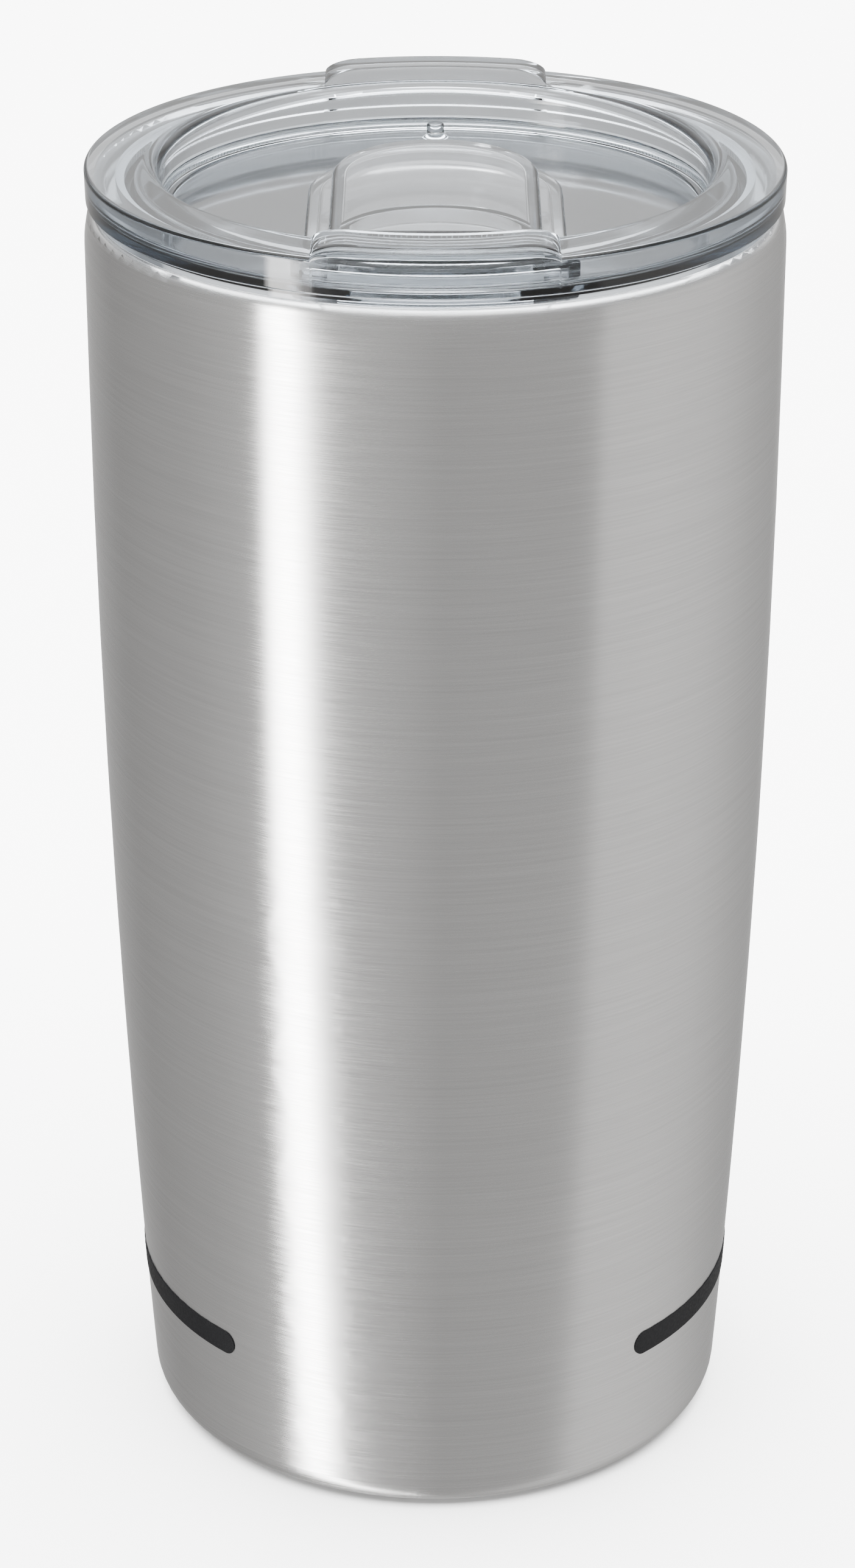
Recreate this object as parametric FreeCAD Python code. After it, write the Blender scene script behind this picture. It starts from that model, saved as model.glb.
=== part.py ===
"""Insulated tumbler with a push-on lid: double-walled steel cup, clear lid, sliding drink closure.

Units are millimetres. The base rests on z = 0, +Z runs up the cup's axis, and the drink opening is at the
front, towards -Y.
"""
import FreeCAD, Part
import math
import os

from FreeCAD import Vector

# ---- Driving dimensions -------------------------------------------------------------------------------
BODY_DIAMETER = 88.9
CUP_HEIGHT = 170.6
SHEET = 0.5                    # steel sheet of the shell, the liner and the base disc
MOUTH_RADIUS = 41.53           # straight bore that takes the lid
LINER_RADIUS = 40.3            # liner below the neck
TAPER_START = 149.5            # the wall is straight above this height and draws in below it
TAPER_ARC = 2206.0             # radius of the long arc that draws the wall in
LID_DIAMETER = 88.5
LID_RISE = 5.8                 # flange top above the cup's rim
FLANGE_THICKNESS = 4.5
LIP_RISE = 1.65                # raised drinking lips above the flange
WELL_RADIUS = 34.6
WELL_DEPTH = 5.8
LID_FLOOR = 2.2
SLIDE_TRAVEL = 15.0            # room left behind the slider
RUNNING_GAP = 0.07             # between the gasket's fins and the bore
REST_GAP = 0.05                # under faces that rest or glide on each other

# ---- Steel cup: worked-out sizes ----------------------------------------------------------------------
BODY_RADIUS = BODY_DIAMETER / 2
RIM_ROLL = 1.3                 # half the width of the rolled rim
SHOULDER_ARC = 16.0            # the wall leans in over this arc just under the rim
SHOULDER_ANGLE = 12.0
SHOULDER_START = (CUP_HEIGHT - RIM_ROLL
                  - (SHOULDER_ARC - RIM_ROLL) * math.sin(math.radians(SHOULDER_ANGLE)))
RIM_CENTRE_R = BODY_RADIUS - SHOULDER_ARC + (SHOULDER_ARC - RIM_ROLL) * math.cos(math.radians(SHOULDER_ANGLE))
RIM_CENTRE_Z = CUP_HEIGHT - RIM_ROLL
BASE_CORNER = 4.0              # outer radius of the rounded base edge
FOOT_INNER = 34.0              # inner edge of the flat ring that the cup stands on
FOOT_FOLD = 1.2                # outer radius of the fold inside that ring
FOLD_HEIGHT = 4.5
LINER_FLOOR = 13.0
LINER_CORNER = 10.0
NECK_LENGTH = 3.5
DISC_UNDERSIDE = 3.2
DISC_TOP = DISC_UNDERSIDE + SHEET
DIMPLE_RISE = 1.4              # dimple round the evacuation hole, above the rest of the disc
GETTER_OFFSET = 17.0           # from the cup's axis, towards +X
GETTER_RADIUS = 5.0
GETTER_DEPTH = 1.2
GETTER_SHEET = 0.3

# ---- Lid: worked-out sizes ----------------------------------------------------------------------------
LID_RADIUS = LID_DIAMETER / 2
FLANGE_TOP = CUP_HEIGHT + LID_RISE
FLANGE_BOTTOM = FLANGE_TOP - FLANGE_THICKNESS
WELL_FLOOR = FLANGE_TOP - WELL_DEPTH
FLOOR_UNDERSIDE = WELL_FLOOR - LID_FLOOR
FLANGE_EDGE = 0.6              # rounding of the flange's outer top edge
WELL_EDGE = 2.2                # rounding between the flange's top and the well's wall
LIP_INNER = WELL_RADIUS + WELL_EDGE
PLUG_OUTER = 40.3
PLUG_INNER = 38.0
PLUG_BOTTOM = FLANGE_TOP - 15.5
GROOVE_TOP = FLANGE_TOP - 8.2
GROOVE_BOTTOM = FLANGE_TOP - 12.2
GROOVE_RADIUS = 39.2

# ---- Slider: plan and heights above the well's floor --------------------------------------------------
STEP_HALF_WIDTH = 16.0         # lower step, like the hump but wider
HUMP_HALF_WIDTH = 13.0
SLIDER_CENTRE = -3.5           # centre of the round back end
STEP_FRONT = 32.2              # the step's front end follows a circle about the lid's axis
HUMP_FRONT = -26.8             # the hump's front end is straight
SLIDER_WALL = 1.5
STEP_HEIGHT = 2.85
HUMP_BACK_HEIGHT = 5.7
HUMP_SLOPE = 0.04              # the hump's top rises this much per mm towards the back
SEAL_HALF_WIDTH = 11.8
SEAL_BACK_ARC = 12.9           # radius of the seal's back end
SEAL_CENTRE = -27.9            # centre of that arc
SEAL_FRONT = 30.2
SEAL_WIDTH = 1.4
SEAL_HEIGHT = 1.2
OPENING_MARGIN = 3.0           # from the seal's outline in to the drink opening's edge
RAIL_INNER = 12.2              # retaining rails: distance from the middle, and their heights
RAIL_OUTER = 14.2
RAIL_WEB = 1.0
RAIL_UNDERCUT = 0.75
RAIL_HEIGHT = 1.4
RAIL_FRONT = -12.0
RAIL_BACK = -1.6
PEG_GAP = 0.25                 # between the open slider and the stop peg


# ---- Drawing helpers ----------------------------------------------------------------------------------
def polar(centre, radius, degrees):
    """Point at an angle on a circle, in the (radius, height) plane."""
    angle = math.radians(degrees)
    return centre[0] + radius * math.cos(angle), centre[1] + radius * math.sin(angle)


def outline(points, place):
    """Closed wire through the points. A (middle, end) pair of points makes an arc to the end point."""
    edges = []
    here = points[0]
    for move in list(points[1:]) + [points[0]]:
        if isinstance(move[0], tuple):
            middle, end = move
            edges.append(Part.Arc(place(here), place(middle), place(end)).toShape())
            here = end
        elif place(here).distanceToPoint(place(move)) > 1e-6:
            edges.append(Part.LineSegment(place(here), place(move)).toShape())
            here = move
    return Part.Wire(edges)


def turned(points, degrees=360.0, start=0.0):
    """Solid of revolution about Z from (radius, height) points."""
    face = Part.Face(outline(points, lambda p: Vector(p[0], 0, p[1])))
    face.rotate(Vector(0, 0, 0), Vector(0, 0, 1), start)
    return face.revolve(Vector(0, 0, 0), Vector(0, 0, 1), degrees)


def raised(points, bottom, top):
    """Prism between two heights from (x, y) points."""
    face = Part.Face(outline(points, lambda p: Vector(p[0], p[1], bottom)))
    return face.extrude(Vector(0, 0, top - bottom))


def block(x, y, z):
    """Box from three (low, high) pairs."""
    return Part.makeBox(x[1] - x[0], y[1] - y[0], z[1] - z[0], Vector(x[0], y[0], z[0]))


def tongue(half_width, centre, front, back_arc):
    """Plan with straight sides, a back end on an arc about centre, and a front end on a circle."""
    corner = -math.sqrt(front ** 2 - half_width ** 2)
    shoulder = centre + math.sqrt(back_arc ** 2 - half_width ** 2)
    return [(-half_width, corner),
            ((0, -front), (half_width, corner)),
            (half_width, shoulder),
            ((0, centre + back_arc), (-half_width, shoulder))]


def step_plan(inset):
    """Plan of the slider's lower step, moved inwards."""
    half_width = STEP_HALF_WIDTH - inset
    return tongue(half_width, SLIDER_CENTRE, STEP_FRONT - inset, half_width)


def hump_plan(inset):
    """Plan of the slider's hump, moved inwards: a round back end and a straight front."""
    half_width = HUMP_HALF_WIDTH - inset
    front = HUMP_FRONT + inset
    return [(-half_width, front),
            (half_width, front),
            (half_width, SLIDER_CENTRE),
            ((0, SLIDER_CENTRE + half_width), (-half_width, SLIDER_CENTRE))]


def seal_plan(inset):
    """Plan of the seal round the drink opening, moved inwards."""
    return tongue(SEAL_HALF_WIDTH - inset, SEAL_CENTRE, SEAL_FRONT - inset, SEAL_BACK_ARC - inset)


# ---- Cup walls ----------------------------------------------------------------------------------------
def wall_radius(inset, height):
    """Radius of the cup's wall line, moved inwards by inset."""
    drop = max(0.0, TAPER_START - height)
    return BODY_RADIUS - TAPER_ARC + math.sqrt((TAPER_ARC - inset) ** 2 - drop ** 2)


def base_corner(inset, floor, radius):
    """Rounding between the wall line and a flat floor: its ends on each, and its middle."""
    centre = (wall_radius(inset + radius, floor + radius), floor + radius)
    lean = -math.degrees(math.asin((TAPER_START - floor - radius) / (TAPER_ARC - inset - radius)))
    return polar(centre, radius, lean), polar(centre, radius, (lean - 90) / 2), polar(centre, radius, -90)


def taper_run(inset, low, high):
    """(middle, end) of the wall line's arc between two heights, ending at the second."""
    middle = (low + high) / 2
    return (wall_radius(inset, middle), middle), (wall_radius(inset, high), high)


def neck_points(offset):
    """S-bend from the mouth bore to the liner's wall, from the top down, moved outwards by offset."""
    step = MOUTH_RADIUS - LINER_RADIUS
    bend = (NECK_LENGTH ** 2 + step ** 2) / (4 * step)
    angle = math.degrees(math.asin(NECK_LENGTH / 2 / bend))
    upper = (MOUTH_RADIUS - bend, TAPER_START + NECK_LENGTH)
    lower = (LINER_RADIUS + bend, TAPER_START)
    return [polar(upper, bend + offset, 0),
            (polar(upper, bend + offset, -angle / 2), polar(upper, bend + offset, -angle)),
            (polar(lower, bend - offset, 180 - angle / 2), polar(lower, bend - offset, 180))]


def reversed_path(points):
    """The same open path of points and (middle, end) pairs, walked the other way."""
    ends = [p if not isinstance(p[0], tuple) else p[1] for p in points]
    path = [ends[-1]]
    for index in range(len(points) - 1, 0, -1):
        move = points[index]
        path.append((move[0], ends[index - 1]) if isinstance(move[0], tuple) else ends[index - 1])
    return path


def outer_shell():
    rim = (RIM_CENTRE_R, RIM_CENTRE_Z)
    shoulder = (BODY_RADIUS - SHOULDER_ARC, SHOULDER_START)
    half = SHOULDER_ANGLE / 2
    roll_middle = (90 + SHOULDER_ANGLE) / 2

    def side(inset):
        on_wall, corner_middle, on_floor = base_corner(inset, inset, BASE_CORNER - inset)
        wall_middle = (on_wall[1] + TAPER_START) / 2
        return [polar(rim, RIM_ROLL - inset, 90),
                (polar(rim, RIM_ROLL - inset, roll_middle), polar(rim, RIM_ROLL - inset, SHOULDER_ANGLE)),
                (polar(shoulder, SHOULDER_ARC - inset, half), polar(shoulder, SHOULDER_ARC - inset, 0)),
                (BODY_RADIUS - inset, TAPER_START),
                ((wall_radius(inset, wall_middle), wall_middle), on_wall),
                (corner_middle, on_floor)]

    fold = (FOOT_INNER, FOOT_FOLD)
    inner_fold = FOOT_FOLD - SHEET
    foot = [(FOOT_INNER, 0.0),
            (polar(fold, FOOT_FOLD, 225), polar(fold, FOOT_FOLD, 180)),
            (FOOT_INNER - FOOT_FOLD, FOLD_HEIGHT),
            (FOOT_INNER - inner_fold, FOLD_HEIGHT),
            (FOOT_INNER - inner_fold, FOOT_FOLD),
            (polar(fold, inner_fold, 225), polar(fold, inner_fold, 270))]
    return turned(side(0.0) + foot + reversed_path(side(SHEET)))


def inner_liner():
    rim = (RIM_CENTRE_R, RIM_CENTRE_Z)
    inset = BODY_RADIUS - LINER_RADIUS

    def side(offset):
        """Liner from the rim down to its floor, moved outwards by offset."""
        roll = RIM_CENTRE_R - MOUTH_RADIUS - offset
        on_wall, corner_middle, on_floor = base_corner(
            inset - offset, LINER_FLOOR - offset, LINER_CORNER + offset)
        wall_middle = (on_wall[1] + TAPER_START) / 2
        return [polar(rim, roll, 90),
                (polar(rim, roll, 135), polar(rim, roll, 180)),
                *neck_points(offset),
                ((wall_radius(inset - offset, wall_middle), wall_middle), on_wall),
                (corner_middle, on_floor),
                (0.0, LINER_FLOOR - offset)]

    return turned(side(0.0) + reversed_path(side(SHEET)))


def radiation_foil():
    """Aluminium foil round the liner, just clear of it."""
    thickness = 0.1
    inner = BODY_RADIUS - LINER_RADIUS - SHEET - REST_GAP
    outer = inner - thickness
    low = 27.0
    high = 147.0
    return turned([(wall_radius(inner, low), low),
                   (wall_radius(outer, low), low),
                   taper_run(outer, low, high),
                   (wall_radius(inner, high), high),
                   taper_run(inner, high, low)])


def base_disc():
    """Pressed bottom with a down-turned edge and a raised dimple round the evacuation hole."""
    edge = FOOT_INNER - FOOT_FOLD
    edge_bottom = 1.4
    bend = 1.2
    dimple = 5.2
    hole = 0.6
    centre = (edge - bend, DISC_TOP - bend)
    inner_bend = bend - SHEET
    return turned([(hole, DISC_UNDERSIDE + DIMPLE_RISE),
                   (dimple - SHEET / 2, DISC_UNDERSIDE + DIMPLE_RISE),
                   (dimple - SHEET / 2 + DIMPLE_RISE, DISC_UNDERSIDE),
                   (edge - bend, DISC_UNDERSIDE),
                   (polar(centre, inner_bend, 45), polar(centre, inner_bend, 0)),
                   (edge - SHEET, edge_bottom),
                   (edge, edge_bottom),
                   (edge, DISC_TOP - bend),
                   (polar(centre, bend, 45), polar(centre, bend, 90)),
                   (dimple + DIMPLE_RISE, DISC_TOP),
                   (dimple, DISC_TOP + DIMPLE_RISE),
                   (hole, DISC_TOP + DIMPLE_RISE)])


def vacuum_seal_bead():
    """Glass bead under the evacuation hole, inside the dimple."""
    seat = DISC_UNDERSIDE + DIMPLE_RISE
    half_width = 2.8
    depth = 1.1
    radius = (half_width ** 2 + depth ** 2) / (2 * depth)
    centre = (0.0, seat - depth + radius)
    spread = math.degrees(math.asin(half_width / radius))
    return turned([(0.0, seat - depth),
                   (polar(centre, radius, spread / 2 - 90), (half_width, seat)),
                   (0.0, seat)])


def getter_holder():
    """Low steel cup on the base disc's inner face."""
    cup = Part.makeCylinder(GETTER_RADIUS, GETTER_DEPTH, Vector(GETTER_OFFSET, 0, DISC_TOP))
    hollow = Part.makeCylinder(GETTER_RADIUS - GETTER_SHEET, GETTER_DEPTH,
                               Vector(GETTER_OFFSET, 0, DISC_TOP + GETTER_SHEET))
    return cup.cut(hollow)


def getter_pill():
    clearance = 0.2
    proud = 0.3                # stands this far out of its holder
    return Part.makeCylinder(GETTER_RADIUS - GETTER_SHEET - clearance, GETTER_DEPTH - GETTER_SHEET + proud,
                             Vector(GETTER_OFFSET, 0, DISC_TOP + GETTER_SHEET))


def accent_stripe():
    """Printed stripe round the sides and back, with pill-shaped ends towards the front."""
    low = 18.4
    high = 21.9
    ink = 0.12
    tip_angle = 41.5
    half = (high - low) / 2
    middle = (low + high) / 2
    mid_radius = wall_radius(0.0, middle)
    end_angle = tip_angle + math.degrees(half / mid_radius)
    section = [(wall_radius(0.0, low), low),
               (wall_radius(-ink, low), low),
               taper_run(-ink, low, high),
               (wall_radius(0.0, high), high),
               taper_run(0.0, high, low)]
    front = -90.0
    stripe = turned(section, 360 - 2 * end_angle, front + end_angle)
    cap_span = end_angle - tip_angle + 1.0
    for side in (-1, 1):
        centre_angle = math.radians(front + side * end_angle)
        outward = Vector(math.cos(centre_angle), math.sin(centre_angle), 0)
        pin = Part.makeCylinder(half, BODY_RADIUS, outward * 5 + Vector(0, 0, middle), outward)
        first = front + end_angle - cap_span if side > 0 else front - end_angle
        stripe = stripe.fuse(turned(section, cap_span, first).common(pin))
    return stripe.removeSplitter()


# ---- Lid ----------------------------------------------------------------------------------------------
def lip_end(x, half_length, reach):
    """Cylinder along Y with an elliptical section, centred at the flange's top."""
    section = Part.Ellipse(Vector(0, 0, 0), half_length, LIP_RISE).toShape()
    end = Part.Face(Part.Wire(section)).extrude(Vector(0, 0, 2 * reach))
    end.rotate(Vector(0, 0, 0), Vector(1, 0, 0), 90)
    end.translate(Vector(x, reach, FLANGE_TOP))
    return end


def lip_rings():
    """The two raised drinking lips, front and back. Their ends fall off along quarter ellipses."""
    top = FLANGE_TOP + LIP_RISE
    root = FLANGE_TOP - FLANGE_EDGE
    outer_round = 1.6
    inner_round = 0.5
    outer_centre = (LID_RADIUS - outer_round, top - outer_round)
    inner_centre = (LIP_INNER + inner_round, top - inner_round)
    ring = turned([(LIP_INNER, root),
                   (LID_RADIUS, root),
                   (LID_RADIUS, top - outer_round),
                   (polar(outer_centre, outer_round, 45), polar(outer_centre, outer_round, 90)),
                   polar(inner_centre, inner_round, 90),
                   (polar(inner_centre, inner_round, 135), polar(inner_centre, inner_round, 180))])
    foot = 14.8                # half-length of a lip at the flange
    crest = 10.4               # half-length of its level top
    reach = LID_RADIUS + 1
    across = (-reach, reach)
    mask = block((-foot, foot), across, (root, FLANGE_TOP))
    mask = mask.fuse(block((-crest, crest), across, (root, top)))
    for side in (-1, 1):
        mask = mask.fuse(lip_end(side * crest, foot - crest, reach))
    return ring.common(mask)


def lid_rail(side):
    """Rail whose overhang holds the slider down on one side."""
    web = sorted((side * RAIL_INNER, side * (RAIL_INNER + RAIL_WEB)))
    cap = sorted((side * RAIL_INNER, side * RAIL_OUTER))
    run = (RAIL_FRONT, RAIL_BACK)
    upright = block(web, run, (WELL_FLOOR - 0.5, WELL_FLOOR + RAIL_UNDERCUT))
    return upright.fuse(block(cap, run, (WELL_FLOOR + RAIL_UNDERCUT, WELL_FLOOR + RAIL_HEIGHT)))


def stop_peg():
    """Small flared peg at the back of the well, where the open slider stops."""
    radius = 1.15
    flare = 0.7
    height = 1.9
    peg = turned([(0.0, WELL_FLOOR - 0.5),
                  (radius + flare, WELL_FLOOR - 0.5),
                  (radius + flare, WELL_FLOOR),
                  ((radius + 0.2, WELL_FLOOR + 0.2), (radius, WELL_FLOOR + flare)),
                  (radius, WELL_FLOOR + height),
                  (0.0, WELL_FLOOR + height)])
    peg.translate(Vector(0, SLIDER_CENTRE + STEP_HALF_WIDTH + SLIDE_TRAVEL + radius + flare + PEG_GAP, 0))
    return peg


def lid_body():
    foot_round = 0.3
    well_fillet = 1.6
    draft = 0.1
    plug_round = 0.5
    corner_fillet = 1.0
    seat_radius = 42.9
    seat = CUP_HEIGHT + REST_GAP
    body = turned([
        (0.0, WELL_FLOOR),
        (WELL_RADIUS - well_fillet, WELL_FLOOR),
        (polar((WELL_RADIUS - well_fillet, WELL_FLOOR + well_fillet), well_fillet, -45),
         (WELL_RADIUS, WELL_FLOOR + well_fillet)),
        (WELL_RADIUS, FLANGE_TOP - WELL_EDGE),
        (polar((LIP_INNER, FLANGE_TOP - WELL_EDGE), WELL_EDGE, 135), (LIP_INNER, FLANGE_TOP)),
        (LID_RADIUS - FLANGE_EDGE, FLANGE_TOP),
        (polar((LID_RADIUS - FLANGE_EDGE, FLANGE_TOP - FLANGE_EDGE), FLANGE_EDGE, 45),
         (LID_RADIUS, FLANGE_TOP - FLANGE_EDGE)),
        (LID_RADIUS - draft, FLANGE_BOTTOM + foot_round),
        (polar((LID_RADIUS - draft - foot_round, FLANGE_BOTTOM + foot_round), foot_round, -45),
         (LID_RADIUS - draft - foot_round, FLANGE_BOTTOM)),
        (seat_radius, FLANGE_BOTTOM),
        (seat_radius, seat),
        (PLUG_OUTER, seat),
        (PLUG_OUTER, GROOVE_TOP),
        (GROOVE_RADIUS, GROOVE_TOP),
        (GROOVE_RADIUS, GROOVE_BOTTOM),
        (PLUG_OUTER, GROOVE_BOTTOM),
        (PLUG_OUTER, PLUG_BOTTOM + plug_round),
        (polar((PLUG_OUTER - plug_round, PLUG_BOTTOM + plug_round), plug_round, -45),
         (PLUG_OUTER - plug_round, PLUG_BOTTOM)),
        (PLUG_INNER + plug_round, PLUG_BOTTOM),
        (polar((PLUG_INNER + plug_round, PLUG_BOTTOM + plug_round), plug_round, 225),
         (PLUG_INNER, PLUG_BOTTOM + plug_round)),
        (PLUG_INNER, FLOOR_UNDERSIDE - corner_fillet),
        (polar((PLUG_INNER - corner_fillet, FLOOR_UNDERSIDE - corner_fillet), corner_fillet, 45),
         (PLUG_INNER - corner_fillet, FLOOR_UNDERSIDE)),
        (0.0, FLOOR_UNDERSIDE)])
    drink_opening = raised(seal_plan(OPENING_MARGIN), FLOOR_UNDERSIDE - 1, WELL_FLOOR + 1)
    body = body.fuse([lip_rings(), lid_rail(-1), lid_rail(1), stop_peg()])
    return body.cut(drink_opening).removeSplitter()


def lid_gasket():
    """Silicone ring that fills the plug's groove, with three fins that reach the bore."""
    band = PLUG_OUTER + 0.1
    fin_radius = MOUTH_RADIUS - RUNNING_GAP
    fin_count = 3
    fin = 0.7
    gap = 0.02
    low = GROOVE_BOTTOM + gap
    high = GROOVE_TOP - gap
    pitch = (high - low - fin) / (fin_count - 1)
    ring = turned([(GROOVE_RADIUS, low), (band, low), (band, high), (GROOVE_RADIUS, high)])
    for index in range(fin_count):
        root = low + index * pitch
        fin_ring = turned([(band - 0.1, root),
                           (fin_radius - fin / 2, root),
                           ((fin_radius, root + fin / 2), (fin_radius - fin / 2, root + fin)),
                           (band - 0.1, root + fin)])
        ring = ring.fuse(fin_ring)
    return ring.removeSplitter()


# ---- Slider -------------------------------------------------------------------------------------------
def below_slope(plan, bottom, drop):
    """Prism from a height above the well's floor up to a plane that lies below the hump's sloping top."""
    high = WELL_FLOOR + HUMP_BACK_HEIGHT - drop
    back = SLIDER_CENTRE + HUMP_HALF_WIDTH
    reach = LID_DIAMETER
    cutter = Part.Face(outline([(back + reach, high + reach * HUMP_SLOPE),
                                (back - reach, high - reach * HUMP_SLOPE),
                                (back - reach, high + reach),
                                (back + reach, high + reach)], lambda p: Vector(-reach, p[0], p[1])))
    return raised(plan, WELL_FLOOR + bottom, high + 1).cut(cutter.extrude(Vector(2 * reach, 0, 0)))


def top_edges(solid, height):
    """Edges that lie wholly above a height."""
    return [edge for edge in solid.Edges if edge.BoundBox.ZMin > height]


def slider():
    step_rounding = 0.6
    hump_rounding = 0.9
    deck = 1.3                 # thickness of the step's top
    step_top = WELL_FLOOR + STEP_HEIGHT
    step = raised(step_plan(0), WELL_FLOOR + REST_GAP, step_top)
    step = step.makeFillet(step_rounding, top_edges(step, step_top - 0.1))
    hump = below_slope(hump_plan(0), REST_GAP, 0)
    hump = hump.makeFillet(hump_rounding, top_edges(hump, step_top))
    envelope = step.fuse(hump)
    step_hollow = raised(step_plan(SLIDER_WALL), WELL_FLOOR - 1, step_top - deck)
    hump_hollow = below_slope(hump_plan(SLIDER_WALL), -1, SLIDER_WALL)
    skirt = raised(seal_plan(0), WELL_FLOOR + SEAL_HEIGHT, FLANGE_TOP)
    skirt = skirt.cut(raised(seal_plan(SEAL_WIDTH), WELL_FLOOR, FLANGE_TOP + 1)).common(envelope)
    body = envelope.cut(step_hollow.fuse(hump_hollow)).fuse(skirt)
    hook_run = (-24.0, SLIDER_CENTRE)
    hook_play = 0.15
    hook_root = 0.3            # how far a hook reaches into the step's wall
    hook_height = (WELL_FLOOR + REST_GAP, WELL_FLOOR + RAIL_UNDERCUT - 0.1)
    for side in (-1, 1):
        hook = sorted((side * (RAIL_INNER + RAIL_WEB + hook_play),
                       side * (STEP_HALF_WIDTH - SLIDER_WALL + hook_root)))
        body = body.fuse(block(hook, hook_run, hook_height))
    return body.removeSplitter()


def slider_seal():
    """Soft ring under the slider's inner skirt, round the drink opening."""
    low = WELL_FLOOR + 0.02
    high = WELL_FLOOR + SEAL_HEIGHT
    return raised(seal_plan(0), low, high).cut(raised(seal_plan(SEAL_WIDTH), low - 1, high + 1))


# ---- Write one file per piece -------------------------------------------------------------------------
PIECES = [outer_shell, inner_liner, radiation_foil, base_disc, vacuum_seal_bead, getter_holder, getter_pill,
          accent_stripe, lid_body, lid_gasket, slider, slider_seal]

os.makedirs("parts", exist_ok=True)
for make_piece in PIECES:
    shape = make_piece()
    name = make_piece.__name__
    print(name, "solids", len(shape.Solids), "valid", shape.isValid(), "volume", round(shape.Volume, 1))
    shape.exportStep(os.path.join("parts", name + ".step"))
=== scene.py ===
"""Insulated tumbler with a clear push-on lid: looks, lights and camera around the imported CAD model."""

import math

import bmesh
import bpy
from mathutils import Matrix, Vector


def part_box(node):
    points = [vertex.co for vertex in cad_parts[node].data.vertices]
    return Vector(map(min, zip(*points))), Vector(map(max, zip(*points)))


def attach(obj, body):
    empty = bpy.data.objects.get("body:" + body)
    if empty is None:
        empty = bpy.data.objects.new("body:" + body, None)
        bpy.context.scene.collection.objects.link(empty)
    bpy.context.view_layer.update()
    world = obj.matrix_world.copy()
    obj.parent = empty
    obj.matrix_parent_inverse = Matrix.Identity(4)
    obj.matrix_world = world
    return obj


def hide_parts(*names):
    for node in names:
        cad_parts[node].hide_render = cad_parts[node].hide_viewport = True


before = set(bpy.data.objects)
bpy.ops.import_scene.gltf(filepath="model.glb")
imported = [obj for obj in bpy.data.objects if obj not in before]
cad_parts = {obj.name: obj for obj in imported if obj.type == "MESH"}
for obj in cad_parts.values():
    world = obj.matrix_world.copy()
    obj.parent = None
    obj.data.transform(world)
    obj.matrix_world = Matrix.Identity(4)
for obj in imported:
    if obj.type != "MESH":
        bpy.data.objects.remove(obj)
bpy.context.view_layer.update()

MM = 0.001                       # the CAD frame is in metres; small sizes below are in millimetres


# ---- Material helpers ----------------------------------------------------------------------------------
class Shader:
    """Short hand for building one node-based material."""

    def __init__(self, name):
        self.material = bpy.data.materials.new(name)
        self.material.use_nodes = True
        self.tree = self.material.node_tree
        self.surface = self.tree.nodes["Principled BSDF"]
        self.output = self.tree.nodes["Material Output"]

    def node(self, kind, inputs=None, **settings):
        """Adds a node. Settings are its properties; inputs are values or sockets, by name or index."""
        made = self.tree.nodes.new("ShaderNode" + kind)
        for key, value in settings.items():
            setattr(made, key, value)
        for key, value in (inputs or {}).items():
            self.feed(made.inputs[key], value)
        return made

    def feed(self, socket, value):
        if isinstance(value, bpy.types.NodeSocket):
            self.tree.links.new(value, socket)
        else:
            socket.default_value = value

    def set(self, **values):
        """Sets inputs of the Principled surface. Underscores in the keys stand for spaces."""
        for key, value in values.items():
            self.feed(self.surface.inputs[key.replace("_", " ")], value)

    def place(self, scale):
        """Object coordinates, scaled along each axis, in features per metre."""
        where = self.node("TexCoord")
        return self.node("Mapping", {"Vector": where.outputs["Object"], "Scale": scale}).outputs["Vector"]

    def noise(self, scale, detail=2.0, roughness=0.5):
        """Noise from 0 to 1 whose features have the given number per metre along each axis."""
        made = self.node("TexNoise", {"Vector": self.place(scale), "Scale": 1.0, "Detail": detail,
                                      "Roughness": roughness})
        return made.outputs["Fac"]

    def spread(self, value, low, high, start=0.0, end=1.0):
        """Maps a value's range from start..end to low..high."""
        made = self.node("MapRange", {"Value": value, "From Min": start, "From Max": end,
                                      "To Min": low, "To Max": high})
        return made.outputs["Result"]

    def blend(self, amount, first, second):
        """Colour between two colours."""
        made = self.node("Mix", data_type="RGBA")
        self.feed(made.inputs["Factor"], amount)
        self.feed(made.inputs["A"], first)
        self.feed(made.inputs["B"], second)
        return made.outputs["Result"]

    def bump(self, height, strength, distance):
        made = self.node("Bump", {"Height": height, "Strength": strength, "Distance": distance})
        return made.outputs["Normal"]


def grey(level, warmth=0.0):
    """Neutral colour; warmth above 0 leans to yellow, below 0 to blue."""
    return level * (1 + warmth), level, level * (1 - warmth), 1.0


def brushed_steel(name, level, roughness, line_density, anisotropic):
    """Stainless steel brushed round the cup: fine rings in colour, roughness and bump."""
    shader = Shader(name)
    rings = shader.noise((40, 40, line_density), detail=3.0, roughness=0.6)
    fine = shader.noise((150, 150, line_density * 2.7), detail=2.0)
    clouds = shader.noise((28, 28, 12), detail=2.0)
    colour = shader.blend(shader.spread(rings, 0.0, 1.0, 0.3, 0.7), grey(level * 0.93, 0.006),
                          grey(level * 1.04, 0.006))
    rough = shader.node("Math", {0: shader.spread(fine, -0.05, 0.05, 0.3, 0.7),
                                 1: shader.spread(clouds, roughness - 0.03, roughness + 0.03, 0.3, 0.7)},
                        operation="ADD")
    tangent = shader.node("Tangent", direction_type="RADIAL", axis="Z")
    shader.set(Base_Color=colour, Metallic=1.0, Roughness=rough.outputs["Value"],
               Anisotropic=anisotropic, Anisotropic_Rotation=0.25, Tangent=tangent.outputs["Tangent"],
               Normal=shader.bump(fine, 0.06, 0.00002))
    return shader.material


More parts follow.
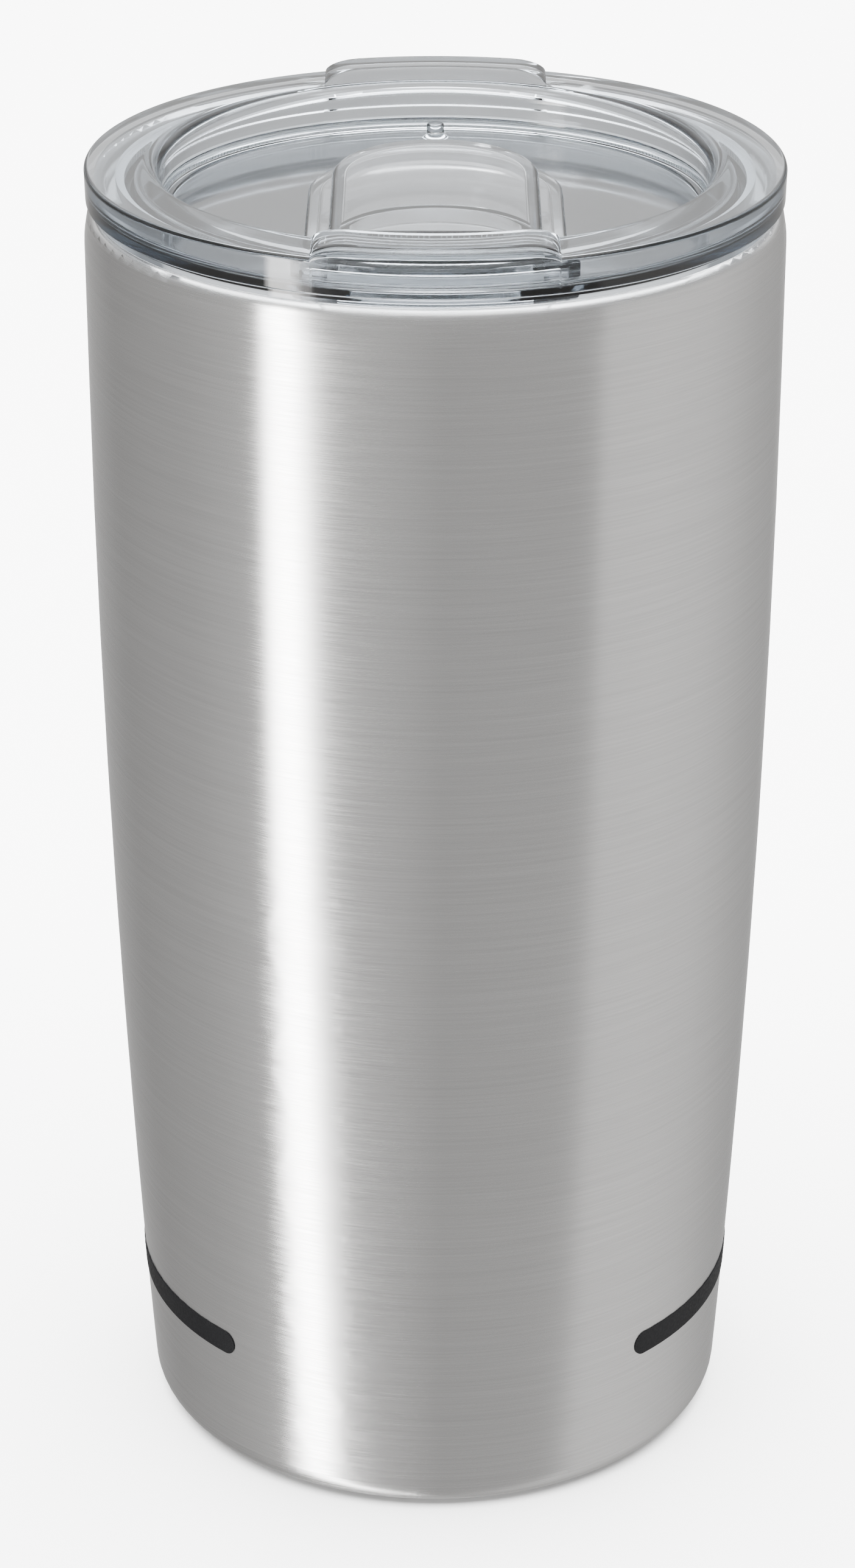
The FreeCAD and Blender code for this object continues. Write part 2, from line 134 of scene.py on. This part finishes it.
def clear_plastic(name, tint, roughness):
    """Moulded clear plastic with faint flow marks and handling haze. It turns blue-grey where it is thick."""
    shader = Shader(name)
    haze = shader.noise((90, 90, 90), detail=3.0)
    flow = shader.noise((18, 30, 60), detail=1.0)
    shader.set(Base_Color=tint, Roughness=shader.spread(haze, roughness * 0.4, roughness * 1.6, 0.3, 0.7),
               IOR=1.54, Transmission_Weight=1.0, Normal=shader.bump(flow, 0.12, 0.0002))
    depth = shader.node("VolumeAbsorption", {"Color": (0.44, 0.51, 0.58, 1), "Density": 62.0})
    shader.feed(shader.output.inputs["Volume"], depth.outputs["Volume"])
    return shader.material


def silicone(name, tint):
    shader = Shader(name)
    grain = shader.noise((1500, 1500, 1500))
    shader.set(Base_Color=tint, Roughness=0.42, IOR=1.41, Transmission_Weight=0.6,
               Normal=shader.bump(grain, 0.15, 0.00005))
    return shader.material


def stripe_ink(name):
    """Screen-printed satin black, with a slight mesh grain."""
    shader = Shader(name)
    grain = shader.noise((2500, 2500, 2500), detail=3.0)
    patch = shader.noise((60, 60, 60))
    shader.set(Base_Color=shader.blend(patch, (0.003, 0.003, 0.0035, 1), (0.006, 0.006, 0.0065, 1)),
               Roughness=shader.spread(grain, 0.45, 0.6, 0.3, 0.7), Specular_IOR_Level=0.08,
               Normal=shader.bump(grain, 0.2, 0.00002))
    return shader.material


def foil(name):
    shader = Shader(name)
    crinkle = shader.noise((120, 120, 90), detail=6.0, roughness=0.6)
    shader.set(Base_Color=(0.80, 0.80, 0.81, 1), Metallic=1.0,
               Roughness=shader.spread(crinkle, 0.15, 0.35, 0.3, 0.7),
               Normal=shader.bump(crinkle, 0.5, 0.0006))
    return shader.material


def sintered(name):
    shader = Shader(name)
    grain = shader.noise((3000, 3000, 3000), detail=4.0)
    shader.set(Base_Color=shader.blend(grain, (0.05, 0.05, 0.055, 1), (0.14, 0.14, 0.145, 1)), Roughness=0.85,
               Normal=shader.bump(grain, 0.6, 0.0002))
    return shader.material


def solder_glass(name):
    shader = Shader(name)
    mottle = shader.noise((700, 700, 700), detail=3.0)
    shader.set(Base_Color=shader.blend(mottle, (0.05, 0.055, 0.06, 1), (0.12, 0.12, 0.13, 1)), Roughness=0.18,
               Coat_Weight=0.5, Normal=shader.bump(mottle, 0.2, 0.0001))
    return shader.material


def dress(node, material):
    """Gives a CAD node its material."""
    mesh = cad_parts[node].data
    mesh.materials.clear()
    mesh.materials.append(material)


dress("outer_shell", brushed_steel("shell_steel", 0.62, 0.24, 3500, 0.97))
dress("inner_liner", brushed_steel("liner_steel", 0.54, 0.17, 2500, 0.7))
dress("base_disc", brushed_steel("base_steel", 0.58, 0.34, 3000, 0.3))
dress("getter_holder", brushed_steel("getter_steel", 0.50, 0.38, 3000, 0.2))
dress("radiation_foil", foil("foil"))
dress("getter_pill", sintered("getter"))
dress("vacuum_seal_bead", solder_glass("seal_glass"))
dress("accent_stripe", stripe_ink("stripe_ink"))

# ---- Lid and slider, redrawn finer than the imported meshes, in millimetres ------------------------------
LID_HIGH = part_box("lid_body")[1] / MM
LIP_RISE = 1.65                  # raised drinking lips above the flange
LID_RADIUS = LID_HIGH.x
FLANGE_TOP = LID_HIGH.z - LIP_RISE
FLANGE_BOTTOM = FLANGE_TOP - 4.5
FLANGE_EDGE = 0.6                # rounding of the flange's outer top edge
WELL_FLOOR = FLANGE_TOP - 5.8
FLOOR_UNDERSIDE = WELL_FLOOR - 2.2
WELL_RADIUS = 34.6
WELL_EDGE = 2.2                  # rounding between the flange's top and the well's wall
LIP_INNER = WELL_RADIUS + WELL_EDGE
LIP_FOOT = 14.8                  # half-length of a drinking lip at the flange
LIP_CREST = 10.4                 # half-length of its level top
LIP_ZONE = 17.0                  # the lid's columns are parallel to the middle plane as far out as this
DRAFT = 0.1                      # the flange's side leans in this much towards its foot
REST_GAP = 0.05                  # under faces that rest or glide on each other
SEAT_RADIUS = 42.9               # the lid's seat on the cup's rim reaches out to here
PLUG_OUTER = 40.3
PLUG_INNER = 38.0
PLUG_BOTTOM = FLANGE_TOP - 15.5
GROOVE_TOP = FLANGE_TOP - 8.2
GROOVE_BOTTOM = FLANGE_TOP - 12.2
GROOVE_RADIUS = 39.2
SOFT_GAP = 0.02                  # between a soft ring and the face that it sits against
RAIL_INNER = 12.2                # retaining rails: distances from the middle, and heights above the floor
RAIL_OUTER = 14.2
RAIL_WEB = 1.0
RAIL_UNDERCUT = 0.75
RAIL_HEIGHT = 1.4
RAIL_FRONT = -12.0
RAIL_BACK = -1.6
STEP_HALF_WIDTH = 16.0           # the slider's lower step, like its hump but wider
STEP_FRONT = 32.2                # the step's front end follows a circle about the lid's axis
STEP_HEIGHT = 2.85
STEP_DECK = 1.3                  # thickness of the step's top
HUMP_HALF_WIDTH = 13.0
HUMP_FRONT = -26.8               # the hump's front end is straight
HUMP_BACK_HEIGHT = 5.7
HUMP_SLOPE = 0.04                # the hump's top rises this much per mm towards the back
SLIDER_CENTRE = -3.5             # centre of the round back ends
SLIDER_WALL = 1.5
SLIDE_TRAVEL = 15.0
SEAL_HALF_WIDTH = 11.8
SEAL_CENTRE = -27.9              # centre of the seal's back arc
SEAL_FRONT = 30.2
SEAL_BACK_ARC = 12.9
SEAL_WIDTH = 1.4
SEAL_HEIGHT = 1.2
OPENING_MARGIN = 3.0             # from the seal's outline in to the drink opening's edge


# ---- Mesh helpers --------------------------------------------------------------------------------------
def arc(centre, radius, first, last, steps=6):
    """Points on an arc between two angles in degrees, with both ends."""
    angles = [math.radians(first + (last - first) * step / steps) for step in range(steps + 1)]
    return [(centre[0] + radius * math.cos(angle), centre[1] + radius * math.sin(angle)) for angle in angles]


def between(first, last, count):
    """Evenly spaced points between two points of the same height, without the ends."""
    step = (last[0] - first[0]) / (count + 1)
    return [(first[0] + step * index, first[1]) for index in range(1, count + 1)]


def circle(radius, height, centre_y=0.0, count=48):
    angles = [2 * math.pi * index / count for index in range(count)]
    return [(radius * math.cos(angle), centre_y + radius * math.sin(angle), height) for angle in angles]


def add_object(name, bm):
    """New object from a bmesh, which is used up."""
    bmesh.ops.recalc_face_normals(bm, faces=bm.faces)
    mesh = bpy.data.meshes.new(name)
    bm.to_mesh(mesh)
    bm.free()
    made = bpy.data.objects.new(name, mesh)
    bpy.context.scene.collection.objects.link(made)
    return made


def finish_mesh(name, bm, smooth_angle=32.0):
    """Object from a bmesh in millimetres, with smooth faces that stay crisp over sharp edges."""
    bmesh.ops.scale(bm, vec=(MM, MM, MM), verts=bm.verts)
    made = add_object(name, bm)
    made.data.shade_smooth()
    made.data.set_sharp_from_angle(angle=math.radians(smooth_angle))
    weighted = made.modifiers.new("even_shading", "WEIGHTED_NORMAL")
    weighted.keep_sharp = True
    return made


def add_row(bm, points):
    return [bm.verts.new(point) for point in points]


def bridge(bm, lower, upper, closed=True):
    """Quads between two rows of vertices."""
    count = len(lower)
    for index in range(count if closed else count - 1):
        after = (index + 1) % count
        bm.faces.new((lower[index], lower[after], upper[after], upper[index]))


def bridge_all(bm, rows):
    """Quads between each row and the next."""
    for lower, upper in zip(rows, rows[1:]):
        bridge(bm, lower, upper)


def edges_of(bm, row):
    """Edges of a closed row, made where they are missing."""
    pairs = zip(row, row[1:] + row[:1])
    return [bm.edges.get(pair) or bm.edges.new(pair) for pair in pairs]


def fill_flat(bm, rows):
    """Flat faces inside the first row, around the holes that the other rows outline."""
    edges = [edge for row in rows for edge in edges_of(bm, row)]
    bmesh.ops.triangle_fill(bm, use_beauty=True, edges=edges, normal=(0, 0, 1))


# ---- Plans ---------------------------------------------------------------------------------------------
def tongue(half_width, centre, front, back_arc):
    """Plan with straight sides, a back end on an arc about centre, and a front end on a circle."""
    turn = math.degrees(math.asin(half_width / front))
    open_angle = math.degrees(math.asin(min(1.0, half_width / back_arc)))
    front_end = arc((0, 0), front, 270 - turn, 270 + turn, 24)
    back_end = arc((0, centre), back_arc, 90 - open_angle, 90 + open_angle, 36)
    return front_end + back_end


def step_plan(inset):
    half_width = STEP_HALF_WIDTH - inset
    return tongue(half_width, SLIDER_CENTRE, STEP_FRONT - inset, half_width)


def hump_plan(inset):
    """Round back end and a straight front with slightly rounded upright corners."""
    half_width = HUMP_HALF_WIDTH - inset
    front = HUMP_FRONT + inset
    least_corner = 0.15
    corner = max(least_corner, 0.8 - inset)
    left = arc((corner - half_width, front + corner), corner, 180, 270, 5)
    right = arc((half_width - corner, front + corner), corner, 270, 360, 5)
    return left + right + arc((0, SLIDER_CENTRE), half_width, 0, 180, 36)


def seal_plan(inset):
    return tongue(SEAL_HALF_WIDTH - inset, SEAL_CENTRE, SEAL_FRONT - inset, SEAL_BACK_ARC - inset)


# ---- Lid -----------------------------------------------------------------------------------------------
def lip_share(x):
    """How far a drinking lip has risen, from 0 beside it to 1 on its level top."""
    fall = min(1.0, max(0.0, (x - LIP_CREST) / (LIP_FOOT - LIP_CREST)))
    return math.sqrt(1 - fall * fall)


def lid_columns():
    """Columns round the lid, as (distance from the middle plane, turn, side signs). Past LIP_ZONE a column
    takes an even share, its turn, of what is left of the quarter circle."""
    level = 12
    falling = 16
    beside = 3
    around = 100
    quarter = [(LIP_CREST * step / level, 0.0) for step in range(level)]
    for step in range(falling):
        quarter.append((LIP_CREST + (LIP_FOOT - LIP_CREST) * math.sin(math.pi / 2 * step / falling), 0.0))
    quarter += [(LIP_FOOT + (LIP_ZONE - LIP_FOOT) * step / beside, 0.0) for step in range(beside)]
    quarter += [(LIP_ZONE, step / around) for step in range(around)]
    back = [(LIP_ZONE, 1.0)] + quarter[:0:-1]
    columns = []
    for part, right, behind in ((quarter, 1, 1), (back, 1, -1), (quarter, -1, -1), (back, -1, 1)):
        columns += [(x, turn, right, behind) for x, turn in part]
    return columns


def well_section():
    """The well from its floor up to the edge of the flange's top."""
    fillet = 1.6
    wall = arc((WELL_RADIUS - fillet, WELL_FLOOR + fillet), fillet, -90, 0, 10)
    return wall + arc((LIP_INNER, FLANGE_TOP - WELL_EDGE), WELL_EDGE, 180, 90, 16)[:-1]


def flange_sections():
    """The flange's top from inside to outside, without and with a drinking lip, with as many points each."""
    inner_round = 0.5
    inner_steps = 5
    outer_round = 1.6
    outer_steps = 10
    level_points = 8
    flat_spacing = 0.15
    lip_top = FLANGE_TOP + LIP_RISE
    flat_inner = [(LIP_INNER + flat_spacing * step, FLANGE_TOP) for step in range(inner_steps + 2)]
    flat_outer = arc((LID_RADIUS - FLANGE_EDGE, FLANGE_TOP - FLANGE_EDGE), FLANGE_EDGE, 90, 0, outer_steps)
    lip_wall = [(LIP_INNER, FLANGE_TOP)]
    lip_wall += arc((LIP_INNER + inner_round, lip_top - inner_round), inner_round, 180, 90, inner_steps)
    lip_outer = arc((LID_RADIUS - outer_round, lip_top - outer_round), outer_round, 90, 0, outer_steps)
    flat = flat_inner + between(flat_inner[-1], flat_outer[0], level_points) + flat_outer
    lip = lip_wall + between(lip_wall[-1], lip_outer[0], level_points) + lip_outer
    return flat, lip


def underside_section():
    """From the flange's outer side down round the seat, groove and plug, and up to the floor's underside."""
    foot_round = 0.3
    plug_round = 0.5
    corner_fillet = 1.0
    side_start = (0.01, 0.06)    # in and down from the foot of the flange's top edge
    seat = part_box("outer_shell")[1].z / MM + REST_GAP
    side = [(LID_RADIUS - side_start[0], FLANGE_TOP - FLANGE_EDGE - side_start[1])]
    side += arc((LID_RADIUS - DRAFT - foot_round, FLANGE_BOTTOM + foot_round), foot_round, 0, -90)
    shoulder = [(SEAT_RADIUS, FLANGE_BOTTOM), (SEAT_RADIUS, seat), (PLUG_OUTER, seat)]
    groove = [(PLUG_OUTER, GROOVE_TOP), (GROOVE_RADIUS, GROOVE_TOP), (GROOVE_RADIUS, GROOVE_BOTTOM),
              (PLUG_OUTER, GROOVE_BOTTOM)]
    foot = arc((PLUG_OUTER - plug_round, PLUG_BOTTOM + plug_round), plug_round, 0, -90)
    foot += arc((PLUG_INNER + plug_round, PLUG_BOTTOM + plug_round), plug_round, 270, 180)
    inside = arc((PLUG_INNER - corner_fillet, FLOOR_UNDERSIDE - corner_fillet), corner_fillet, 0, 90)
    return side + shoulder + groove + foot + inside


def lid_wall_rows(bm):
    """Rows of vertices round the lid, one for each point of its section, from the well to the underside."""
    columns = lid_columns()
    start = well_section()
    end = underside_section()
    flat, lip = flange_sections()
    rows = []
    for low, high in zip(start + flat + end, start + lip + end):
        row = []
        for x, turn, right, behind in columns:
            share = lip_share(x)
            radius = low[0] + (high[0] - low[0]) * share
            height = low[1] + (high[1] - low[1]) * share
            first = math.asin(x / radius)
            angle = first + (math.pi / 2 - first) * turn
            place = (right * radius * math.sin(angle), behind * radius * math.cos(angle), height)
            row.append(bm.verts.new(place))
        rows.append(row)
    return rows


def rail(bm, side):
    """Guide rail on the well's floor: its foot row, with the rail built up from it."""
    bevel = 0.15
    web = RAIL_INNER + RAIL_WEB
    section = [(RAIL_INNER, 0), (RAIL_INNER, RAIL_HEIGHT - bevel), (RAIL_INNER + bevel, RAIL_HEIGHT),
               (RAIL_OUTER - bevel, RAIL_HEIGHT), (RAIL_OUTER, RAIL_HEIGHT - bevel),
               (RAIL_OUTER, RAIL_UNDERCUT), (web, RAIL_UNDERCUT), (web, 0)]
    ends = [add_row(bm, [(side * x, y, WELL_FLOOR + z) for x, z in section]) for y in (RAIL_FRONT, RAIL_BACK)]
    bridge(bm, ends[0], ends[1], closed=False)
    for end in ends:
        bm.faces.new(end)
    return [ends[0][0], ends[0][-1], ends[1][-1], ends[1][0]]


def peg(bm):
    """Small flared peg at the back of the well: its foot row, with the peg built up from it."""
    radius = 1.15
    flare = 0.7
    height = 1.9
    top_round = 0.3
    clearance = 0.25             # to the open slider
    centre = SLIDER_CENTRE + STEP_HALF_WIDTH + SLIDE_TRAVEL + radius + flare + clearance
    profile = arc((radius + flare, flare), flare, 270, 180)
    profile += arc((radius - top_round, height - top_round), top_round, 0, 90)
    rows = [add_row(bm, circle(row_radius, WELL_FLOOR + level, centre)) for row_radius, level in profile]
    bridge_all(bm, rows)
    bm.faces.new(rows[-1])
    return rows[0]


def drink_opening(bm):
    """Wall of the hole through the lid's floor: its top and bottom rows."""
    edge = 0.3
    shoulder = 0.3 * edge        # middle point of the rounded edge
    rim = OPENING_MARGIN
    levels = [(rim - edge, WELL_FLOOR), (rim - shoulder, WELL_FLOOR - shoulder), (rim, WELL_FLOOR - edge),
              (rim, FLOOR_UNDERSIDE + edge), (rim - shoulder, FLOOR_UNDERSIDE + shoulder),
              (rim - edge, FLOOR_UNDERSIDE)]
    rows = [add_row(bm, [(x, y, height) for x, y in seal_plan(inset)]) for inset, height in levels]
    bridge_all(bm, rows)
    return rows[0], rows[-1]


def make_lid():
    bm = bmesh.new()
    rows = lid_wall_rows(bm)
    bridge_all(bm, rows)
    hole_top, hole_bottom = drink_opening(bm)
    fill_flat(bm, [rows[0], hole_top, rail(bm, -1), rail(bm, 1), peg(bm)])
    fill_flat(bm, [rows[-1], hole_bottom])
    return finish_mesh("lid", bm)


# ---- Slider --------------------------------------------------------------------------------------------
def hump_top(y):
    """Height of the hump's sloping top above the well's floor."""
    return HUMP_BACK_HEIGHT + (y - SLIDER_CENTRE - HUMP_HALF_WIDTH) * HUMP_SLOPE


def prism(name, plan, levels):
    """Closed prism in millimetres above the well's floor, from (inset, height) levels. A height may be a
    function of y."""
    bm = bmesh.new()
    rows = []
    for inset, height in levels:
        rows.append(add_row(bm, [(x, y, height(y) if callable(height) else height) for x, y in plan(inset)]))
    bridge_all(bm, rows)
    bm.faces.new(rows[0])
    bm.faces.new(rows[-1])
    return add_object(name, bm)


def combine(base, tool, operation):
    """Changes base's mesh by the tool, exactly, and deletes the tool."""
    modifier = base.modifiers.new("combine", "BOOLEAN")
    modifier.operation = operation
    modifier.solver = "EXACT"
    modifier.object = tool
    result = bpy.data.meshes.new_from_object(base.evaluated_get(bpy.context.evaluated_depsgraph_get()))
    base.modifiers.clear()
    base.data = result
    bpy.data.objects.remove(tool)


def rounded_top(radius, height, inset=0.0, steps=5):
    """(inset, height) levels of a rounding at a prism's top edge, under a height that is a function of y."""
    levels = []
    for angle in (math.radians(90 * step / steps) for step in range(steps + 1)):
        drop = radius * (1 - math.sin(angle))
        levels.append((inset + radius * (1 - math.cos(angle)), lambda y, drop=drop: height(y) - drop))
    return levels


def step_level(drop=0.0):
    """The step's level top, or the underside of its deck, as a function of y."""
    return lambda y: STEP_HEIGHT - drop


def hook(side):
    """Bar inside the step's side that catches under a rail."""
    inner = 13.35
    outer = 14.8                 # reaches into the step's side wall
    front = -24.0
    low = 0.1
    high = 0.65
    x = sorted((side * inner, side * outer))
    corners = [(x[0], front), (x[1], front), (x[1], SLIDER_CENTRE), (x[0], SLIDER_CENTRE)]
    return prism("hook", lambda inset: corners, [(0, low), (0, high)])


def make_slider():
    foot_bevel = 0.15
    step_round = 0.6
    hump_root = 1.0              # the hump starts inside the step, so that they join
    hump_round = 0.9
    inner_round = 0.3
    hump_inner_round = 0.4
    open_foot = -1.0             # the hollows start below the slider, so that they open downwards
    hump_open_foot = -0.5
    past_top = 12.0
    outside = [(foot_bevel, REST_GAP), (0, REST_GAP + foot_bevel)]
    body = prism("body", step_plan, outside + rounded_top(step_round, step_level()))
    combine(body, prism("hump", hump_plan, [(0, hump_root)] + rounded_top(hump_round, hump_top)), "UNION")
    inside = [(SLIDER_WALL, open_foot)] + rounded_top(inner_round, step_level(STEP_DECK), SLIDER_WALL, 3)
    hollow = prism("hollow", step_plan, inside)
    inside = [(SLIDER_WALL, hump_open_foot)]
    inside += rounded_top(hump_inner_round, lambda y: hump_top(y) - SLIDER_WALL, SLIDER_WALL, 3)
    combine(hollow, prism("hump_hollow", hump_plan, inside), "UNION")
    skirt = prism("skirt", seal_plan, [(0, SEAL_HEIGHT), (0, past_top)])
    combine(skirt, prism("inside", seal_plan, [(SEAL_WIDTH, 0.0), (SEAL_WIDTH, past_top + 1)]), "DIFFERENCE")
    combine(hollow, skirt, "DIFFERENCE")
    for side in (-1, 1):
        combine(hollow, hook(side), "DIFFERENCE")
    combine(body, hollow, "DIFFERENCE")
    bm = bmesh.new()
    bm.from_mesh(body.data)
    bpy.data.objects.remove(body)
    bmesh.ops.remove_doubles(bm, verts=bm.verts, dist=0.0005)
    bmesh.ops.translate(bm, vec=(0, 0, WELL_FLOOR), verts=bm.verts)
    return finish_mesh("thumb_slider", bm)


# ---- Soft rings ----------------------------------------------------------------------------------------
def ring(name, levels, plan):
    """Closed band whose section is the closed path of (inset, height) levels, swept round the plan."""
    bm = bmesh.new()
    rows = [add_row(bm, [(x, y, height) for x, y in plan(inset)]) for inset, height in levels]
    bridge_all(bm, rows + rows[:1])
    return finish_mesh(name, bm)


def make_seal():
    low = WELL_FLOOR + SOFT_GAP
    high = WELL_FLOOR + SEAL_HEIGHT
    edge = 0.25
    corners = [(edge, low + edge, 180), (SEAL_WIDTH - edge, low + edge, 270),
               (SEAL_WIDTH - edge, high - edge, 0), (edge, high - edge, 90)]
    levels = [point for x, z, first in corners for point in arc((x, z), edge, first, first + 90, 3)]
    return ring("opening_seal", levels, seal_plan)


def make_gasket():
    """Silicone ring in the plug's groove, with three rounded fins."""
    fins = 3
    root = 40.4                  # radius of the band that the fins stand on
    fin_round = 0.35             # half a fin's thickness
    low = GROOVE_BOTTOM + SOFT_GAP
    high = GROOVE_TOP - SOFT_GAP
    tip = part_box("lid_gasket")[1].x / MM - fin_round
    pitch = (high - low - 2 * fin_round) / (fins - 1)
    section = [(GROOVE_RADIUS, high), (GROOVE_RADIUS, low)]
    for index in range(fins):
        middle = low + index * pitch + fin_round
        section.append((root, middle - fin_round))
        section += arc((tip, middle), fin_round, -90, 90)
        section.append((root, middle + fin_round))
    levels = [(-radius, height) for radius, height in section]
    return ring("plug_gasket", levels, lambda inset: [(x, y) for x, y, z in circle(-inset, 0, count=360)])


def redraw(piece, body, node, material):
    """Puts a finer piece in a CAD node's place."""
    piece.data.materials.clear()
    piece.data.materials.append(material)
    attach(piece, body)
    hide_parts(node)


LID_PLASTIC = clear_plastic("lid_plastic", (0.965, 0.975, 0.985, 1), 0.04)
SLIDER_PLASTIC = clear_plastic("slider_plastic", (0.975, 0.98, 0.99, 1), 0.04)
SILICONE_TINT = (0.90, 0.92, 0.93, 1)

redraw(make_lid(), "lid", "lid_body", LID_PLASTIC)
redraw(make_gasket(), "lid", "lid_gasket", silicone("gasket", SILICONE_TINT))
redraw(make_slider(), "closure", "slider", SLIDER_PLASTIC)
redraw(make_seal(), "closure", "slider_seal", silicone("slider_gasket", SILICONE_TINT))


# ---- Stage, lights and camera --------------------------------------------------------------------------
def stage_floor():
    """Pale floor. The metal and the clear lid see the studio walls past it."""
    half = 4.0
    corners = [(-half, -half, 0), (half, -half, 0), (half, half, 0), (-half, half, 0)]
    mesh = bpy.data.meshes.new("floor")
    mesh.from_pydata(corners, [], [(0, 1, 2, 3)])
    floor = bpy.data.objects.new("floor", mesh)
    bpy.context.scene.collection.objects.link(floor)
    shader = Shader("floor_paper")
    grain = shader.noise((900, 900, 900), detail=3.0)
    shader.set(Base_Color=shader.blend(grain, grey(0.86), grey(0.88)), Roughness=0.9,
               Specular_IOR_Level=0.2, Normal=shader.bump(grain, 0.05, 0.0002))
    mesh.materials.append(shader.material)
    floor.visible_glossy = False
    floor.visible_transmission = False


def ceiling_light(height, size, power):
    """Large soft light over the floor. It isn't seen in the metal, which mirrors the studio walls instead."""
    data = bpy.data.lights.new("ceiling", "AREA")
    data.shape = "SQUARE"
    data.size = size
    data.energy = power
    light = bpy.data.objects.new("ceiling", data)
    behind = 0.3                 # a little behind the cup
    light.location = (0, behind, height)
    light.visible_camera = False
    light.visible_glossy = False
    bpy.context.scene.collection.objects.link(light)


# Brightness of the studio walls round the cup, as (azimuth in degrees, level). Azimuth 0 is in front of the
# cup and 90 is on its +X side. The peak is a tall strip light, crisp on one side and soft on the other.
WALLS = [(-180, 0.95), (-168, 0.80), (-157, 0.56), (-131, 0.42), (-89, 0.58), (-57, 0.84), (-55, 24),
         (-47.5, 24), (-44, 8), (-39.5, 1.4), (-32, 0.86), (2, 0.55), (48, 0.59), (53.5, 0.64), (57, 1.12),
         (78, 1.18), (101, 1.08), (131, 0.70), (157, 0.50), (168, 0.80), (180, 0.95)]
# The same above the walls: a bright backdrop behind the cup, and dim elsewhere.
BACKDROP = [(-180, 2.1), (-150, 2.1), (-135, 0.75), (135, 0.75), (150, 2.1), (180, 2.1)]
SOFTBOX = 3.0                    # level of the round light straight above
WALL_TOP = (0.15, 0.40)          # heights on the unit sphere between which one gives way to the next
SOFTBOX_EDGE = (0.80, 0.88)
WALL_WARMTH = 0.013
BACKDROP_WARMTH = -0.01


def studio_walls():
    """World that is a ring of soft walls and a strip light, with a backdrop above it and a softbox on top."""
    made = bpy.data.worlds.new("studio")
    made.use_nodes = True
    tree = made.node_tree

    def math_node(operation, first, second=0.0):
        node = tree.nodes.new("ShaderNodeMath")
        node.operation = operation
        for socket, value in zip(node.inputs, (first, second)):
            if isinstance(value, bpy.types.NodeSocket):
                tree.links.new(value, socket)
            else:
                socket.default_value = value
        return node.outputs[0]

    def ramp(levels, warmth):
        """Grey level by azimuth."""
        node = tree.nodes.new("ShaderNodeValToRGB")
        tree.links.new(turn, node.inputs[0])
        stops = node.color_ramp.elements
        while len(stops) < len(levels):
            stops.new(0.5)
        for stop, (degrees, level) in zip(stops, levels):
            stop.position = degrees / 360 + 0.5
            stop.color = grey(level, warmth)
        return node.outputs[0]

    def above(edge, below_colour, above_colour):
        """Changes from one colour to the other between the two heights of an edge."""
        step = tree.nodes.new("ShaderNodeMapRange")
        tree.links.new(z, step.inputs["Value"])
        step.inputs["From Min"].default_value, step.inputs["From Max"].default_value = edge
        mix = tree.nodes.new("ShaderNodeMix")
        mix.data_type = "RGBA"
        tree.links.new(step.outputs[0], mix.inputs["Factor"])
        tree.links.new(below_colour, mix.inputs["A"])
        if isinstance(above_colour, bpy.types.NodeSocket):
            tree.links.new(above_colour, mix.inputs["B"])
        else:
            mix.inputs["B"].default_value = above_colour
        return mix.outputs["Result"]

    direction = tree.nodes.new("ShaderNodeTexCoord").outputs["Generated"]
    split = tree.nodes.new("ShaderNodeSeparateXYZ")
    tree.links.new(direction, split.inputs[0])
    x, y, z = split.outputs
    azimuth = math_node("ARCTAN2", x, math_node("MULTIPLY", y, -1.0))
    turn = math_node("ADD", math_node("DIVIDE", azimuth, 2 * math.pi), 0.5)
    sides = above(WALL_TOP, ramp(WALLS, WALL_WARMTH), ramp(BACKDROP, BACKDROP_WARMTH))
    whole = above(SOFTBOX_EDGE, sides, grey(SOFTBOX))
    tree.links.new(whole, tree.nodes["Background"].inputs["Color"])
    bpy.context.scene.world = made


def camera():
    """The camera's place, tilt and lens for a 36 mm sensor on the image's long side."""
    aside = -0.17 * MM
    distance = 520.4 * MM
    height = 328.2 * MM
    pitch = math.radians(24.634)
    yaw = 0.0016
    data = bpy.data.cameras.new("camera")
    data.lens = 97.73
    data.sensor_width = 36.0
    data.sensor_fit = "AUTO"
    data.clip_start = 0.01
    made = bpy.data.objects.new("camera", data)
    made.location = (aside, -distance, height)
    made.rotation_euler = (math.pi / 2 - pitch, 0, yaw)
    bpy.context.scene.collection.objects.link(made)
    bpy.context.scene.camera = made


stage_floor()
studio_walls()
ceiling_light(height=2.2, size=3.5, power=800)
camera()
